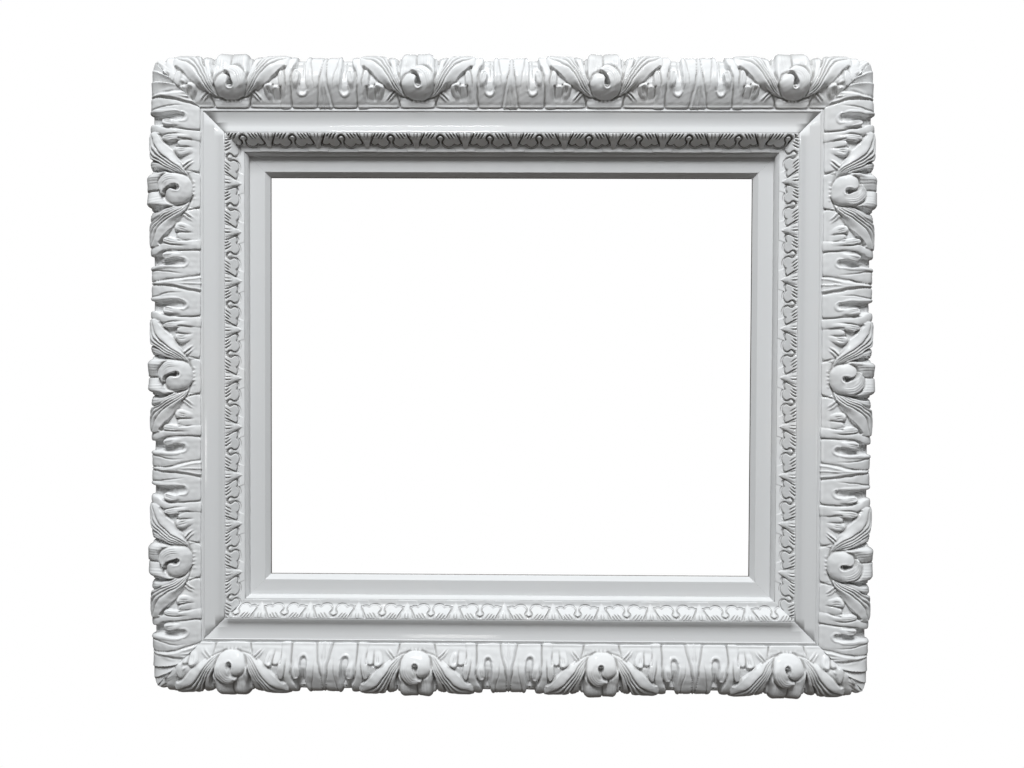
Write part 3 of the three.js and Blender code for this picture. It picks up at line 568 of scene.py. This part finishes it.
def gloss_paint(name, level=.80, tint=(.985, .995, 1.0), rough=(.15, .25), peel=1.0, hollow=.86, gloss=.5, coat=.1, grime_and_shade=0.0, upright=False):
    """Sprayed white gloss over a ground: orange peel, slow sags, nibs from specks in the film, painted shade and some
    dirt in the hollows, a slight painted highlight on the edges, and the back left in thin primer over the wood."""
    m, t, b = graph(name)
    co = node(t, "ShaderNodeTexCoord").outputs["Object"]
    geo = node(t, "ShaderNodeNewGeometry")
    slow = node(t, "ShaderNodeTexNoise", {"Vector": co, "Scale": 9.0, "Detail": 3.0, "Roughness": .55})
    mid = node(t, "ShaderNodeTexNoise", {"Vector": co, "Scale": 70.0, "Detail": 2.0, "Roughness": .5})
    fine = node(t, "ShaderNodeTexNoise", {"Vector": co, "Scale": 420.0, "Detail": 1.5, "Roughness": .5})
    nib = node(t, "ShaderNodeTexVoronoi", {"Vector": co, "Scale": 75.0, "Randomness": 1.0})
    nib_on = node(t, "ShaderNodeMath", {0: nib.outputs["Color"], 1: .93}, operation="GREATER_THAN")
    nib_cone = node(t, "ShaderNodeMapRange", {"Value": nib.outputs["Distance"], "From Min": .0, "From Max": .085, "To Min": 1.0, "To Max": 0.0})
    nib_h = node(t, "ShaderNodeMath", {0: nib_on.outputs[0], 1: nib_cone.outputs[0]}, operation="MULTIPLY")
    # colour: slow mottling, with painted shade and some dirt in the hollows and creases and a slight painted highlight
    # on the edges
    mottle = ramp(t, slow.outputs["Fac"], [(.30, grey(level * .99, tint)), (.55, grey(level, tint)), (.75, grey(level * 1.006, (1.0, .998, .992)))])
    # painted shade: concave creases are darkened and convex edges made a little lighter
    crease_shade = ramp(t, geo.outputs["Pointiness"], [(.39, grey(hollow, (1.0, .985, .965))), (.488, grey(1.0)), (.60, grey(1.02))])
    colour = node(t, "ShaderNodeMix", {"Factor": 1.0, 6: mottle.outputs[0], 7: crease_shade.outputs[0]}, data_type="RGBA", blend_type="MULTIPLY")
    # dirt and painted shade lying in the cuts of the carving, read point by point from an attribute
    dust_and_shade = node(t, "ShaderNodeAttribute", attribute_name="dust_and_shade")
    patchy = node(t, "ShaderNodeMapRange", {"Value": mid.outputs["Fac"], "From Min": .3, "From Max": .7, "To Min": grime_and_shade * .85, "To Max": grime_and_shade})
    dirt_and_shade_share = node(t, "ShaderNodeMath", {0: dust_and_shade.outputs["Fac"], 1: patchy.outputs[0]}, operation="MULTIPLY")
    # painted shade and dirt: the cuts are mixed towards a dark brown
    colour = node(t, "ShaderNodeMix", {"Factor": dirt_and_shade_share.outputs[0], 6: colour.outputs[2], 7: (.085, .074, .062, 1)}, data_type="RGBA")
    # back: primer with the grain showing through
    turn = node(t, "ShaderNodeMapping", {"Vector": co, "Scale": (105.0, 105.0, 4.0) if upright else (4.0, 105.0, 105.0)})
    grain = node(t, "ShaderNodeTexNoise", {"Vector": turn.outputs[0], "Scale": 2.2, "Detail": 6.0, "Roughness": .62, "Distortion": .6})
    primer = ramp(t, grain.outputs["Fac"], [(.32, (.50, .46, .39, 1)), (.52, (.66, .635, .58, 1)), (.72, (.72, .70, .655, 1))])
    sep = node(t, "ShaderNodeSeparateXYZ", {"Vector": geo.outputs["True Normal"]})
    back = node(t, "ShaderNodeMapRange", {"Value": sep.outputs["Y"], "From Min": .80, "From Max": .95})
    whole = node(t, "ShaderNodeMix", {"Factor": back.outputs[0], 6: colour.outputs[2], 7: primer.outputs[0]}, data_type="RGBA")
    t.links.new(whole.outputs[2], b.inputs["Base Color"])
    # gloss
    r1 = node(t, "ShaderNodeMapRange", {"Value": mid.outputs["Fac"], "From Min": .3, "From Max": .7, "To Min": rough[0], "To Max": rough[1]})
    r2 = node(t, "ShaderNodeMix", {"Factor": back.outputs[0], 2: r1.outputs[0], 3: .62}, data_type="FLOAT")
    t.links.new(r2.outputs[0], b.inputs["Roughness"])
    # relief of the paint film
    b1 = node(t, "ShaderNodeBump", {"Height": mid.outputs["Fac"], "Strength": .12 * peel, "Distance": .0008})
    b2 = node(t, "ShaderNodeBump", {"Height": fine.outputs["Fac"], "Strength": .22 * peel, "Distance": .0002, "Normal": b1.outputs[0]})
    b3 = node(t, "ShaderNodeBump", {"Height": nib_h.outputs[0], "Strength": .55, "Distance": .0004, "Normal": b2.outputs[0]})
    t.links.new(b3.outputs[0], b.inputs["Normal"])
    b.inputs["Specular IOR Level"].default_value = gloss
    b.inputs["Coat Weight"].default_value = coat
    b.inputs["Coat Roughness"].default_value = .08
    return m


def steel(name, base, rough, brush=1.0, tint=(1, 1, 1)):
    """Plated steel with fine scratches, dull patches and a little darkening."""
    m, t, b = graph(name)
    co = node(t, "ShaderNodeTexCoord").outputs["Object"]
    stretch = node(t, "ShaderNodeMapping", {"Vector": co, "Scale": (900.0, 900.0, 60.0)})
    scratch = node(t, "ShaderNodeTexNoise", {"Vector": stretch.outputs[0], "Scale": 1.0, "Detail": 4.0, "Roughness": .6})
    patch = node(t, "ShaderNodeTexNoise", {"Vector": co, "Scale": 190.0, "Detail": 4.0, "Roughness": .6})
    c = ramp(t, patch.outputs["Fac"], [(.28, grey(base * .72, tint)), (.55, grey(base, tint)), (.78, grey(base * 1.12, tint))])
    t.links.new(c.outputs[0], b.inputs["Base Color"])
    r = node(t, "ShaderNodeMapRange", {"Value": scratch.outputs["Fac"], "From Min": .3, "From Max": .7, "To Min": rough - .08, "To Max": rough + .12})
    t.links.new(r.outputs[0], b.inputs["Roughness"])
    bump = node(t, "ShaderNodeBump", {"Height": scratch.outputs["Fac"], "Strength": .25 * brush, "Distance": .00008})
    t.links.new(bump.outputs[0], b.inputs["Normal"])
    b.inputs["Metallic"].default_value = 1.0
    return m


def bare_wood(name, dark, light):
    """Unpainted wood, stained by age: long grain along the rails, rough."""
    m, t, b = graph(name)
    co = node(t, "ShaderNodeTexCoord").outputs["Object"]
    big = node(t, "ShaderNodeTexNoise", {"Vector": co, "Scale": 55.0, "Detail": 8.0, "Roughness": .65, "Distortion": 1.2})
    pore = node(t, "ShaderNodeTexNoise", {"Vector": co, "Scale": 900.0, "Detail": 2.0})
    c = ramp(t, big.outputs["Fac"], [(.3, dark), (.7, light)])
    t.links.new(c.outputs[0], b.inputs["Base Color"])
    bump = node(t, "ShaderNodeBump", {"Height": pore.outputs["Fac"], "Strength": .4, "Distance": .0002})
    t.links.new(bump.outputs[0], b.inputs["Normal"])
    b.inputs["Roughness"].default_value = .7
    return m


BARE = bare_wood("bare_wood_rebate", (.10, .088, .078, 1), (.17, .155, .14, 1))
# One white paint in per-side copies. Apart from turning the grain on the upright pieces, their differing levels and
# grime are painted light and shade for how the light falls on each side: the top and bottom rails and the bottom leaf
# band darker, the top leaf band and the right slip lighter.
PAINT = {
    "rail": gloss_paint("white_gloss_rail", .785, rough=(.035, .09), peel=.9, upright=True),
    "rail_top": gloss_paint("white_gloss_rail_top_painted_shade", .685, rough=(.035, .09), peel=.9),
    "rail_bottom": gloss_paint("white_gloss_rail_bottom_painted_shade", .755, rough=(.035, .09), peel=.9),
    "slip": gloss_paint("white_gloss_slip", .775, rough=(.08, .16), peel=.9),
    "slip_left": gloss_paint("white_gloss_slip_left", .775, rough=(.08, .16), peel=.9, upright=True),
    "slip_right": gloss_paint("white_gloss_slip_right_painted_light", .79, rough=(.08, .16), peel=.9, upright=True),
    "leaf": gloss_paint("white_gloss_leaf", .865, rough=(.12, .20), peel=.6, hollow=.78, grime_and_shade=.94),
    "leaf_top": gloss_paint("white_gloss_leaf_top_painted_light", .92, rough=(.12, .20), peel=.6, hollow=.78, grime_and_shade=.95),
    "leaf_bottom": gloss_paint("white_gloss_leaf_bottom_painted_shade", .78, rough=(.12, .20), peel=.6, hollow=.78, grime_and_shade=.9),
    "acanthus": gloss_paint("white_gloss_acanthus", .83, rough=(.10, .18), peel=.7, hollow=.62, grime_and_shade=.42),
}
ZINC = steel("zinc_plate", .58, .34, tint=(.97, .985, 1.0))
SCREW = steel("screw_plate", .50, .30, tint=(1.0, .96, .88))
NAIL = steel("nail_steel", .40, .42)


# ------------------------------------------------------------------ acanthus border
BASE = spline([(77.0, 41.2), (77.15, 42.0), (77.7, 42.75), (79.6, 43.3), (82, 44.55), (84, 45.5), (91, 48.25), (97, 50.5), (101.5, 52.05), (106, 52.6), (112, 51.8), (119, 49.5), (126, 46.2), (131.6, 42.4), (135.4, 37.6), (137.3, 31.5), (137.3, 23), (136.2, 14.6)], 1500)
RUN = np.concatenate([[0], np.cumsum(np.linalg.norm(np.diff(BASE, axis=0), axis=1))])
TANGENT = np.gradient(BASE, axis=0); TANGENT /= np.linalg.norm(TANGENT, axis=1)[:, None]
NORMAL = np.stack([-TANGENT[:, 1], TANGENT[:, 0]], 1)
TURN = int(np.argmin(np.abs(BASE[:, 0] - 125) + 100 * (BASE[:, 1] < 45)))


# the ornament is drawn as it is seen along a line of sight that leans outwards by LEAN, on a nominal section
LEAN = .38
NOMINAL = np.array([(66, 48), (72.6, 48), (72.7, 47.5), (76, 53.4), (83, 59), (93, 63), (104, 64.5), (115, 63), (125, 58.5), (133, 51), (137.8, 41.5)])
SEEN_AT = np.linspace(66, 137, 400)
SEEN = np.maximum.accumulate(SEEN_AT + LEAN * np.interp(SEEN_AT, NOMINAL[:, 0], NOMINAL[:, 1]))


def tracing(v):
    """Run along the base section to the drawing coordinate S."""
    s, d = (np.interp(v, RUN, BASE[:, k]) for k in (0, 1))
    inner = np.interp(s + LEAN * d, SEEN, SEEN_AT)
    turn = np.interp(BASE[TURN, 0] + LEAN * BASE[TURN, 1], SEEN, SEEN_AT)
    return np.where(v <= RUN[TURN], inner, turn + (v - RUN[TURN]) * .6)


PITCH = .7
unit = Canvas(-111, 111, -9)
module(unit)
unit.blur(.26)
V = np.concatenate([np.arange(0, RUN[TURN] + 26, PITCH), np.arange(RUN[TURN] + 26, RUN[-1], PITCH * 1.7), RUN[-1:]])
PV = np.stack([np.interp(V, RUN, BASE[:, k]) for k in (0, 1)], 1); NV = np.stack([np.interp(V, RUN, NORMAL[:, k]) for k in (0, 1)], 1)
NV /= np.linalg.norm(NV, axis=1)[:, None]
TRACE = tracing(V)
SEEN_SHARE = NV[:, 1].clip(0, 1) * smooth(RUN[TURN] + 8, RUN[TURN] - 8, V)
FLOOR = np.interp(PV[:, 1], [14, 43, 46, 54, 70], [-7.6, -7.6, -8.0, -10, -10]) * (PV[:, 0] > 110) + -12 * (PV[:, 0] <= 110)

ROUND = 28.0


def corner(h, side, uu, ss, short):
    """Relief next to the mitre: on the upright rails broad blades, on the level rails small leaf tips."""
    near_outer = smooth(96, 104, ss)
    if side in ("left", "right"):
        v = np.abs(uu) + .15 * (ss - 75) - 344.0
        fan = v / np.clip(ss - 84, 8, None)
        fill = np.full(h.shape, -1.4)
        for lo, hi, lift in ((0, .36, 3.2), (.36, .70, 3.4), (.70, 1.4, 2.4)):
            q = (fan - lo) / (hi - lo)
            fill = np.where((q >= 0 if lo else q > -9) & (q < 1), (-1.5 if lo else -.9) + lift * (1 - .8 * smooth(112, 130, ss)) * (q * .6 + .4 * q ** 3 - .9 * smooth(.92, 1, q)), fill)
        fill = fill + 1.9 * smooth(112, 126, ss)
        out = h + (fill - h) * smooth(-1.0, 3.0, v)
        return out + (blurred(out, .9 / PITCH) - out) * smooth(7, 2, np.abs(v - 1))
    fill = np.full(h.shape, -1.6)
    for at, size in ((101.0, 9.0), (112.5, 10.0), (123.0, 10.0), (132.5, 10.0)):
        a = (ss - at) / size; b = (short - 6.5) / (size * .8)
        along, across = .71 * (a - b), .71 * (a + b)
        tip = 1 - along ** 2 - (1.5 * across / np.clip(1.15 - along, .2, None)) ** 2
        fill = np.maximum(fill, -1.4 + 3.0 * np.sqrt(np.clip(tip, 0, 1)) - 1.0 * np.clip(1 - np.abs(across) * 7, 0, 1) * (tip > 0))
    share = near_outer * smooth(28, 18, short)
    out = np.maximum(h * (1 - share) + np.maximum(h, fill) * share, -9 + 6.2 * smooth(34, 6, short))
    return out + (blurred(out, .55 / PITCH) - out) * smooth(30, 22, short)


for n, side in enumerate(SIDES):
    first = 111.0 if side in ("top", "bottom") else 0.0
    reach = LENGTH[side] + 150
    cut_at = [first - 111 + 222 * k for k in range(-3, 4) if abs(first - 111 + 222 * k) < LENGTH[side] + 60]
    U = np.linspace(-reach, reach, int(2 * reach / PITCH))
    for q in cut_at:
        U[np.argmin(np.abs(U - q))] = q
    cuts = [int(np.argmin(np.abs(U - q))) for q in cut_at]
    uu, ss = np.meshgrid(U, TRACE)
    wu = uu + .9 * wobble(uu, ss, 46, 10 + n) + .35 * wobble(uu, ss, 13, 20 + n)
    ws = ss + (.7 * wobble(uu, ss, 52, 30 + n) + .3 * wobble(uu, ss, 12, 40 + n)) * smooth(74, 84, ss)
    # raised parts are seen further out than the base they stand on
    h = 0 * uu
    for _ in range(4):
        h = .5 * h + .5 * sample(unit, (wu - first + 111) % 222 - 111, ws + LEAN * h * SEEN_SHARE[:, None])
    h = h + .35 * wobble(uu, ss, 38, 50 + n) + .12 * wobble(uu, ss, 7, 60 + n)
    h = np.maximum(h, FLOOR[:, None])
    h = corner(h, side, uu, ss, LENGTH[side] + PV[:, :1] - np.abs(uu))
    # dirt and painted shade darken the cuts of the relief
    dust_and_shade = np.clip((blurred(cuts_of(h, max(1, round(1.4 / PITCH))), .7) - .15) / .9, 0, 1) * smooth(RUN[TURN] + 20, RUN[TURN] + 8, V)[:, None]
    # and painted shade lies thinly along the outer edge, weighted per side by how the light falls, heaviest on top
    dust_and_shade = np.maximum(dust_and_shade, {"top": .95, "right": .5, "bottom": .7, "left": .5}[side] * (smooth(RUN[TURN] + 7, RUN[TURN] + 16, V) * smooth(RUN[TURN] + 36, RUN[TURN] + 24, V))[:, None])
    S = PV[:, :1] + NV[:, :1] * h; D = PV[:, 1:] + NV[:, 1:] * h
    D = np.maximum(D, 14.35)
    D[:3] = np.maximum(D[:3], 41.1)
    D = np.where(PV[:, :1] < 122, np.maximum(D, 40.7), D)
    # the outline turns the corner in a curve
    left_over = LENGTH[side] + 137.5 - np.abs(uu)
    limit = np.where(left_over < ROUND, 137.5 - ROUND + np.sqrt(np.clip(ROUND ** 2 - (ROUND - left_over) ** 2, 1, None)), 400.0)
    S = np.where(S > limit - 3, limit - 3 + 3 * np.tanh((S - limit + 3) / 3), S)
    rear = np.array([(128.4, 14.35), (128.4, 40.25), (78.2, 40.25), (77.2, 41.0)])
    S = np.vstack([S, np.broadcast_to(rear[:, :1], (len(rear), len(U)))]); D = np.vstack([D, np.broadcast_to(rear[:, 1:], (len(rear), len(U)))])
    dust_and_shade = np.vstack([dust_and_shade, np.zeros((len(rear), len(U)))])
    flat = np.zeros(len(S), bool); flat[len(V) - 1:] = True
    skin(f"acanthus_border_{side}", side, U, S, D, flat, f"acanthus_{side}", PAINT["acanthus"], cuts, dust_and_shade=dust_and_shade)

# ------------------------------------------------------------------ leaf-and-dart band
tile = Canvas(-LEAF_PERIOD / 2, LEAF_PERIOD / 2, -2, .15, 26.0, 49.0)
leaf_repeat(tile)
tile.blur(.16)
LP = .5
bed = spline([(27.4, 31.3), (28.2, 32.0), (30, 32.1), (32.4, 32.2), (34.2, 33.1), (38.0, 37.5), (40.6, 40.6), (42.4, 42.3), (44.2, 43.35), (46.9, 44.15)], int(23.6 / LP))
away = np.gradient(bed, axis=0); away = np.stack([-away[:, 1], away[:, 0]], 1); away /= np.linalg.norm(away, axis=1)[:, None]
ends = smooth(0, 1.0, bed[:, 0] - 27.4) * smooth(0, 1.2, 46.9 - bed[:, 0])
# drawn, like the border, as seen along a leaning line of sight
drawn = np.linspace(22, 48, 300)
LS = np.interp(bed[:, 0] + .36 * bed[:, 1], drawn + .36 * np.interp(drawn, [20, 24.1, 25.1, 27.1, 28.5, 36.6, 45.9, 46.2, 47.6], [24.3, 26.6, 28.6, 31, 33, 41.4, 46.2, 46.2, 46]), drawn)
PHASE = {"top": 34.0, "right": 28.5, "bottom": 35.3, "left": 26.9}
STRIDE = {"top": 59.2, "right": 59.0, "bottom": 59.07, "left": 58.86}
for n, side in enumerate(SIDES):
    reach = LENGTH[side] + 52
    U = np.linspace(-reach, reach, int(2 * reach / LP))
    uu, ss = np.meshgrid(U, LS)
    wu = (uu - PHASE[side] + .5 * wobble(uu, ss, 34, 70 + n)) * (LEAF_PERIOD / STRIDE[side])
    h = sample(tile, (wu + LEAF_PERIOD / 2) % LEAF_PERIOD - LEAF_PERIOD / 2, ss + .25 * wobble(uu, ss, 30, 80 + n))
    h = np.maximum(h + .12 * wobble(uu, ss, 16, 90 + n), -2.2) * ends[:, None]
    # dirt and painted shade in the channels, weighted per side by how the light falls: heaviest on the top band, which
    # lies in shade
    dust_and_shade = np.clip((blurred(cuts_of(h, max(1, round(1.1 / LP))), .6) - .06) / .42, 0, 1) * ends[:, None] * {"top": 1.0, "right": .58, "bottom": .44, "left": .56}[side]
    S = np.broadcast_to(bed[:, :1], h.shape).copy(); D = bed[:, 1:] + h / np.clip(away[:, 1:], .74, 1)
    D = np.maximum(D, 30.5)
    rear = np.array([(46.8, 39.7), (32.4, 30.4), (27.7, 30.2)])
    S = np.vstack([S, np.broadcast_to(rear[:, :1], (3, len(U)))]); D = np.vstack([D, np.broadcast_to(rear[:, 1:], (3, len(U)))])
    dust_and_shade = np.vstack([dust_and_shade, np.zeros((3, len(U)))])
    flat = np.zeros(len(S), bool); flat[len(bed) - 1:] = True
    skin(f"leaf_band_{side}", side, U, S, D, flat, f"leaf_strip_{side}", PAINT.get(f"leaf_{side}", PAINT["leaf"]), dust_and_shade=dust_and_shade)

# ------------------------------------------------------------------ rails and slips
# from the crest a steep fall, a wide shallow hollow, a small step and a bevelled ledge under the border
hollow = [tuple(p) for p in spline([(72.6, 41.3), (71, 40.97), (70, 40.79), (66, 40.23), (63, 40.05), (61, 40.08), (58.5, 40.31), (56, 40.84), (54, 41.61), (52.5, 42.34), (51, 43.02), (49.0, 43.8)], 36)]
outline = [(30.3, 0), (136.5, 0), (136.5, 14), (128, 14), (128, 40), (77.8, 40), (77.2, 40.9), (73.4, 42.2), (72.9, 41.4)] + hollow + \
          [(48.0, 44.1), (47.2, 44.1), (47.2, 39.4), (32.5, 30.1), (27.5, 29.9), (27.3, 30.6), (26.8, 30.4), (25.1, 28.4), (24.1, 26.4), (23.5, 23.1), (30.3, 23.1)]
radii = [.4, 1.6, 1.2, 0, 0, 0, 0, .35, .15] + [0] * len(hollow) + [.5, .3, 0, 0, 0, .3, .4, .5, .5, .5, 0]
section, straight = rounded(outline[::-1], radii[::-1], 5)
inside = [47.5 < p[0] < 72.4 and 47.0 > p[1] > 35 for p in section]
slip_section, slip_straight = rounded([(0, 14), (7, 14), (7, 0), (30, 0), (30, 22.8), (5.6, 22.8), (0, 17.8)][::-1], [.4, .8, 0, 0, 0, .9, .6][::-1], 5)
for side in SIDES:
    for name, part, sec, flags, span in (("rail", "rail", section, straight, 138), ("slip", "slip", slip_section, slip_straight, 31)):
        reach = LENGTH[side] + span + 3
        U = np.linspace(-reach, reach, int(2 * reach / 12))
        S = np.repeat(sec[:, :1], len(U), 1); D = np.repeat(sec[:, 1:], len(U), 1)
        flat = np.zeros(len(sec), bool)
        for i in range(len(sec)):
            if np.linalg.norm(sec[(i + 1) % len(sec)] - sec[i]) > 1.6:
                flat[i] = True
        if part == "rail":
            flat &= ~np.array(inside)
        made = skin(f"{part}_moulding_{side}", side, U, S, D, flat, f"{part}_{side}", PAINT.get(f"{part}_{side}", PAINT[part]), gap=.04)
        if part == "slip":
            # the wall of the opening and the rebate behind it are bare, dark wood
            mesh = made[0].data
            mesh.materials.append(BARE)
            inner = {"top": (0, 0, -1), "right": (-1, 0, 0), "bottom": (0, 0, 1), "left": (1, 0, 0)}[side]
            for poly in mesh.polygons:
                c = poly.center
                s_at = {"top": c.z * 1000 + MID - B0, "right": c.x * 1000 - A0, "bottom": -c.z * 1000 - MID - B0, "left": -c.x * 1000 - A0}[side]
                if (s_at < .12 and -c.y * 1000 < 17.6) or (s_at < 7.6 and -c.y * 1000 < 14.2 and poly.normal.dot(Vector(inner)) > -.5):
                    poly.material_index = 1

# ------------------------------------------------------------------ fittings keep their CAD shape
for name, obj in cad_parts.items():
    if name.startswith(("hanger_strap", "hanger_ring", "turn_button")):
        m = ZINC
    elif "screw" in name:
        m = SCREW
    elif "vnail" in name:
        m = NAIL
    else:
        continue
    obj.data.materials.clear(); obj.data.materials.append(m)

# ------------------------------------------------------------------ floor, light and camera
bpy.ops.mesh.primitive_grid_add(x_subdivisions=8, y_subdivisions=8, size=1, location=(0, -.35, -1.9))
floor = bpy.context.object
floor.name = "floor"
floor.scale = (3.0, 2.2, 1)
fm, ft, fb = graph("floor_pale")
fco = node(ft, "ShaderNodeTexCoord").outputs["Object"]
fn = node(ft, "ShaderNodeTexNoise", {"Vector": fco, "Scale": 40.0, "Detail": 3.0})
fr = ramp(ft, fn.outputs["Fac"], [(.3, grey(.74)), (.7, grey(.78))])
ft.links.new(fr.outputs[0], fb.inputs["Base Color"])
fb.inputs["Roughness"].default_value = .8
floor.data.materials.append(fm)
floor.visible_diffuse = False
floor.visible_glossy = False

world = bpy.data.worlds.new("studio")
bpy.context.scene.world = world
world.use_nodes = True
wt = world.node_tree
wt.nodes.clear()
wout = wt.nodes.new("ShaderNodeOutputWorld")
way = node(wt, "ShaderNodeTexCoord").outputs["Generated"]
wz = node(wt, "ShaderNodeSeparateXYZ", {"Vector": way})
height = node(wt, "ShaderNodeMapRange", {"Value": wz.outputs["Z"], "From Min": -1.0, "From Max": 1.0})
sky = ramp(wt, height.outputs[0], [(0.0, grey(.083, (1, .89, .79))), (.30, grey(.076, (1, .90, .81))), (.44, grey(.064, (1, .92, .86))), (.52, grey(.11, (1, 1, 1))), (.75, grey(.22, (.96, .99, 1.0))), (1.0, grey(.32, (.94, .98, 1.0)))])
light_bg = node(wt, "ShaderNodeBackground", {"Color": sky.outputs[0], "Strength": 1.0})
white_bg = node(wt, "ShaderNodeBackground", {"Color": (1, 1, 1, 1), "Strength": 1.0})
seen = node(wt, "ShaderNodeLightPath")
both = node(wt, "ShaderNodeMixShader", {0: seen.outputs["Is Camera Ray"], 1: light_bg.outputs[0], 2: white_bg.outputs[0]})
wt.links.new(both.outputs[0], wout.inputs[0])


def area(name, place_at, aim, size, power, colour=(1, 1, 1)):
    l = bpy.data.lights.new(name, "AREA")
    l.shape = "RECTANGLE"; l.size, l.size_y = size; l.energy = power; l.color = colour
    o = bpy.data.objects.new(name, l)
    bpy.context.scene.collection.objects.link(o)
    o.location = place_at
    o.rotation_euler = (Vector(aim) - Vector(place_at)).to_track_quat("-Z", "Y").to_euler()
    return o


key = area("ceiling_lamp", (.05, -2.88, 3.75), (0, 0, -.33), (.90, 1.90), 253, (.965, .985, 1.0))
key.visible_glossy = False
glint = area("small_lamp", (-.70, -2.95, 3.70), (0, 0, -.33), (1.2, .26), 26, (.98, .99, 1.0))
rear = area("rear_card", (.25, 2.8, .9), (0, 0, -.33), (1.6, 1.4), 34, (1.0, .995, .985))
front = area("front_card", (-.35, -3.6, -.75), (0, 0, -.33), (.50, .30), 2, (1.0, .99, .97))

cam_data = bpy.data.cameras.new("camera")
cam_data.sensor_width = 36.0
cam_data.lens = 36.0 * 778.0 / 1024.0
cam_data.clip_start, cam_data.clip_end = .01, 50
cam = bpy.data.objects.new("camera", cam_data)
bpy.context.scene.collection.objects.link(cam)
rx, ry, rz = (math.radians(a) for a in (.92, -.50, -.25))
turn = Matrix.Rotation(rz, 3, "Z") @ Matrix.Rotation(ry, 3, "Y") @ Matrix.Rotation(rx, 3, "X")
axes = Matrix(((1, 0, 0), (0, 0, -1), (0, 1, 0)))
cam.matrix_world = Matrix.Translation((.0106, -.9740, .0072 - MID / 1000)) @ (axes @ turn.transposed()).to_4x4()
bpy.context.scene.camera = cam
bpy.context.scene.view_settings.view_transform = "Standard"
bpy.context.scene.view_settings.look = "None"

bpy.context.view_layer.update()
